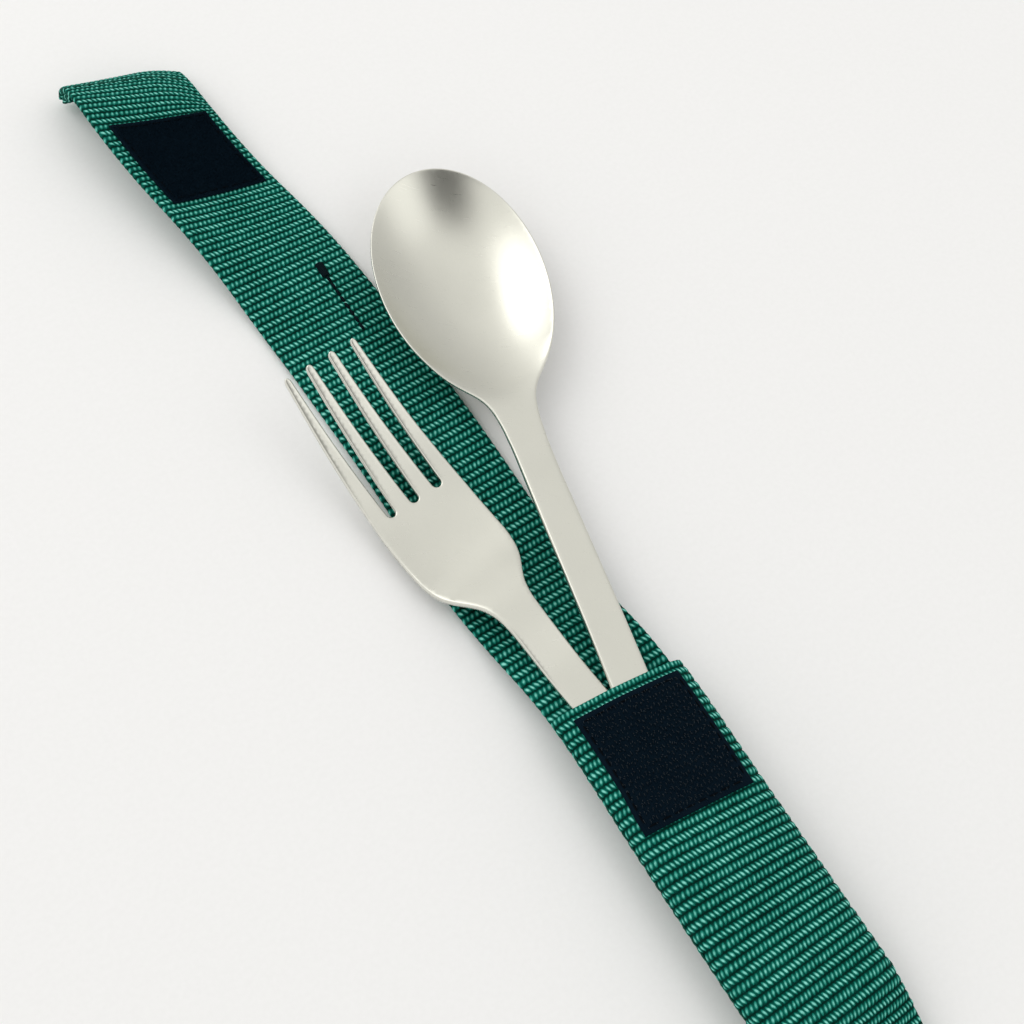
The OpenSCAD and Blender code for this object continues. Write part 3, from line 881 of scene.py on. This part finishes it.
def fork_outline():
    pts = []
    tip_y = 98.0
    def gap(s, y):
        t = np.clip((y - SLOT_Y) / 36, 0, 1)
        return 6.4 * s + (6.05 - 6.4) * s * t, 1.05 + 1.05 * t
    def cap(xl, xr, ybase, right_to_left=True):
        w, c = (xr - xl) / 2, (xr + xl) / 2
        ph = np.linspace(0, math.pi, 13)
        return [(c + w * math.cos(a), ybase + (tip_y - ybase) * math.sin(a)) for a in ph]
    yb = tip_y - 1.25
    # up the right side from the rounded end of the handle
    for a in np.linspace(-90, 0, 10):
        pts.append((2.0 + 2.5 * math.cos(math.radians(a)), -69.5 + 2.5 * math.sin(math.radians(a))))
    for y in np.arange(-68, 96.6, 0.5):
        pts.append((float(fork_half(y)), y))
    xr = float(fork_half(yb))
    for s in (1, 0, -1):
        c, g = gap(s, yb)
        pts += cap(c + g, xr, yb)
        for y in np.arange(yb - 0.5, SLOT_Y, -0.5):
            cc, gg = gap(s, y)
            pts.append((cc + gg, y))
        for a in np.linspace(0, -180, 15):
            pts.append((6.4 * s + 1.05 * math.cos(math.radians(a)), SLOT_Y + 1.05 * math.sin(math.radians(a))))
        for y in np.arange(SLOT_Y + 0.5, yb, 0.5):
            cc, gg = gap(s, y)
            pts.append((cc - gg, y))
        c, g = gap(s, yb)
        xr = c - g
    pts += cap(-float(fork_half(yb)), xr, yb)
    for y in np.arange(96.5, -68.1, -0.5):
        pts.append((-float(fork_half(y)), y))
    for a in np.linspace(180, 270, 10):
        pts.append((-2.0 + 2.5 * math.cos(math.radians(a)), -69.5 + 2.5 * math.sin(math.radians(a))))
    return pts


def fork_bottom(x, y):
    hollow = 0.55 * ease((y - 38) / 8) * (1 - ease((y - 62) / 16)) * (x / 12.0) ** 2
    return fork_low(y) + hollow


def fork_top(x, y):
    return fork_bottom(x, y) + fork_t(y)


fork = plate("fork_steel", fork_outline(), fork_top, fork_bottom, lambda y: 0.5 - 0.05 * ease((y - 30) / 30), 0.8, "fork", (-3.4, 0, FZ, 4.8), "fork")

handle_half = table([(-36, 4.6), (-28, 4.6), (0, 4.5), (30, 4.4), (55, 4.3), (60, 4.35), (66, 4.7), (70, 5.3), (73, 6.3), (75, 7.5), (77, 9.2), (79, 11), (81, 12.6), (83, 13.9)], 0.9, -36, 137)
edge_z = table([(-36, 0), (15, 0), (40, -0.6), (55, -0.9), (68, -0.5), (82, 0.1), (100, 0.7), (120, 1.8), (137, 3.4), (150, 4.8)], 4, -36, 137)
TIP, BL, BW = 137.0, 31.75, 20.25
BY = TIP - BL


def bowl_half(y):
    u = (y - BY) / BL
    return np.where(np.abs(u) >= 1, 0, BW * np.sqrt(np.clip(1 - u * u, 0, 1)) * (1 + 0.05 * u))


def spoon_half(y):
    b = bowl_half(y)
    k = ease((y - 78.5) / 4)
    return handle_half(y) * (1 - k) + b * k


def hollow(x, y):
    """Depth of the bowl as a share of its greatest depth."""
    u = (y - BY) / BL
    q = 1 - (x / (BW * (1 + 0.05 * u))) ** 2 - u * u
    e = 0.03 * (1 - ease((u + 0.9) / 0.3)) + 0.0004
    d = (q + np.sqrt(q * q + e)) / 2
    return 1 - np.clip(1 - d, 0, 1) ** 1.2


def spoon_outline():
    pts = []
    for a in np.linspace(-90, 0, 9):
        pts.append((1.9 + 2.7 * math.cos(math.radians(a)), -33.3 + 2.7 * math.sin(math.radians(a))))
    for y in np.arange(-33, 130, 0.5):
        pts.append((float(spoon_half(y)), y))
    for t in np.linspace(math.asin((130 - BY) / BL), math.pi / 2, 40):
        y = BY + BL * math.sin(t)
        pts.append((BW * math.cos(t) * (1 + 0.05 * math.sin(t)), y))
    right = pts
    left = [(-x, y) for x, y in right[::-1]]
    return right + left[1:]


def spoon_top(x, y):
    return edge_z(y) + 1.7 - 7.3 * hollow(x, y)


def spoon_bottom(x, y):
    return spoon_top(x, y) - (1.7 - 0.6 * ease((y - 50) / 26))


spoon = plate("spoon_steel", spoon_outline(), spoon_top, spoon_bottom, lambda y: 0.46 - 0.06 * ease((y - 50) / 26), 0.75, "spoon", (5.4, 0, SZ, -14.0), "spoon")

# ---------------------------------------------------------------- fabric across the two folds
def at_y(y, z=6.0):
    return (0.0, (y + Y0) / 1000, z / 1000)


for ob in (fold,):
    at_y(FOLD - 12)
    at_y(FOLD + 12)
    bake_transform(ob)
for ob in (tip, loop_base, pile, loop_thread):
    at_y(CURL - 8)
    at_y(CURL + 8)
    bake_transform(ob)


def flat_l(cloth, a, b):
    return float(cloth.length(b) - cloth.length(a)) / 1000


for ob, a, b, extra in ((back, POCKET_END, B0, ()), (middle, B0, BM, ()), (front, BM, B1, ("bar_tack",)), (fold, B1, B2, ()),
                        (tip, B2, 201.0, ("tip_hem", "stitches_tip"))):
    flat_l(strap, a, b)
flat_l(pocket, POCKET_END + 0.4, 0.0)

# ---------------------------------------------------------------- floor, light and camera
me = bpy.data.meshes.new("floor")
zf = cad_lo.z - 0.0002
n = 24
co = [((i / n - 0.5) * 6, (j / n - 0.5) * 6, zf) for j in range(n + 1) for i in range(n + 1)]
me.from_pydata(co, [], [(j * (n + 1) + i, j * (n + 1) + i + 1, (j + 1) * (n + 1) + i + 1, (j + 1) * (n + 1) + i) for j in range(n) for i in range(n)])
floor = bpy.data.objects.new("floor", me)
bpy.context.scene.collection.objects.link(floor)
m, t, p = material("floor_white")
tc = t.nodes.new("ShaderNodeTexCoord")
fn = noise(t, tc.outputs["Object"], 900.0, 2.0)
t.links.new(ramp(t, fn, [(0.3, (0.86, 0.858, 0.852)), (0.7, (0.875, 0.873, 0.868))]), p.inputs["Base Color"])
p.inputs["Roughness"].default_value = 0.8
p.inputs["Specular IOR Level"].default_value = 0.2
me.materials.append(m)

world = bpy.data.worlds.new("studio")
bpy.context.scene.world = world
world.use_nodes = True
wt = world.node_tree
bg = wt.nodes["Background"]
tcw = wt.nodes.new("ShaderNodeTexCoord")


def toward(d, lo, hi):
    """1 in direction d, falling to 0 between the two cosines."""
    v = wt.nodes.new("ShaderNodeVectorMath")
    v.operation = "DOT_PRODUCT"
    wt.links.new(tcw.outputs["Generated"], v.inputs[0])
    v.inputs[1].default_value = Vector(d).normalized()
    r = wt.nodes.new("ShaderNodeMapRange")
    r.interpolation_type = "SMOOTHSTEP"
    r.inputs["From Min"].default_value, r.inputs["From Max"].default_value = lo, hi
    wt.links.new(v.outputs["Value"], r.inputs["Value"])
    return V(wt, r.outputs[0])


dark = toward((-0.17, -0.42, 0.89), 0.885, 0.96)
side = toward((0.9, 0.25, 0.1), 0.3, 1.0)
level = (dark * -0.95 + 1.0) * (side * -0.34 + 1.0)
wt.links.new((level * 1.06).o, bg.inputs["Strength"])
bg.inputs["Color"].default_value = (1.0, 0.995, 0.98, 1)


def lamp(name, where, aim, size, power, color=(1, 1, 1)):
    l = bpy.data.lights.new(name, "AREA")
    l.shape, l.size, l.energy, l.color = "DISK", size, power, color
    o = bpy.data.objects.new(name, l)
    bpy.context.scene.collection.objects.link(o)
    o.location = where
    o.rotation_mode = "QUATERNION"
    o.rotation_quaternion = (Vector(aim) - Vector(where)).to_track_quat("-Z", "Y")
    return o


aim = Vector((0.01, 0.02, 0))
lamp("window", aim + Vector((-0.32, 0.66, 0.68)).normalized() * 1.1, aim, 0.8, 2.4, (1.0, 0.99, 0.97))
lamp("fill", aim + Vector((0.5, -0.5, 0.8)).normalized() * 1.4, aim, 1.2, 1.5)

cam_d = bpy.data.cameras.new("camera")
cam_d.sensor_width = 36
cam_d.lens = 1552.9 * 36 / 1024
cam_d.clip_start, cam_d.clip_end = 0.01, 20
cam = bpy.data.objects.new("camera", cam_d)
bpy.context.scene.collection.objects.link(cam)
right = Vector((0.82151614, -0.56206012, 0.09591478))
down = Vector((-0.47142262, -0.76416539, -0.4402408))
fwd = Vector((0.32073655, 0.31644853, -0.89274206))
C = Vector((-103.356, -62.305 + Y0, 315.078)) / 1000
M = Matrix((
    (right.x, -down.x, -fwd.x, C.x),
    (right.y, -down.y, -fwd.y, C.y),
    (right.z, -down.z, -fwd.z, C.z),
    (0, 0, 0, 1)))
cam.matrix_world = M
bpy.context.scene.camera = cam
vs = bpy.context.scene.view_settings
vs.view_transform = "Standard"
vs.look = "None"
vs.exposure = 0.0
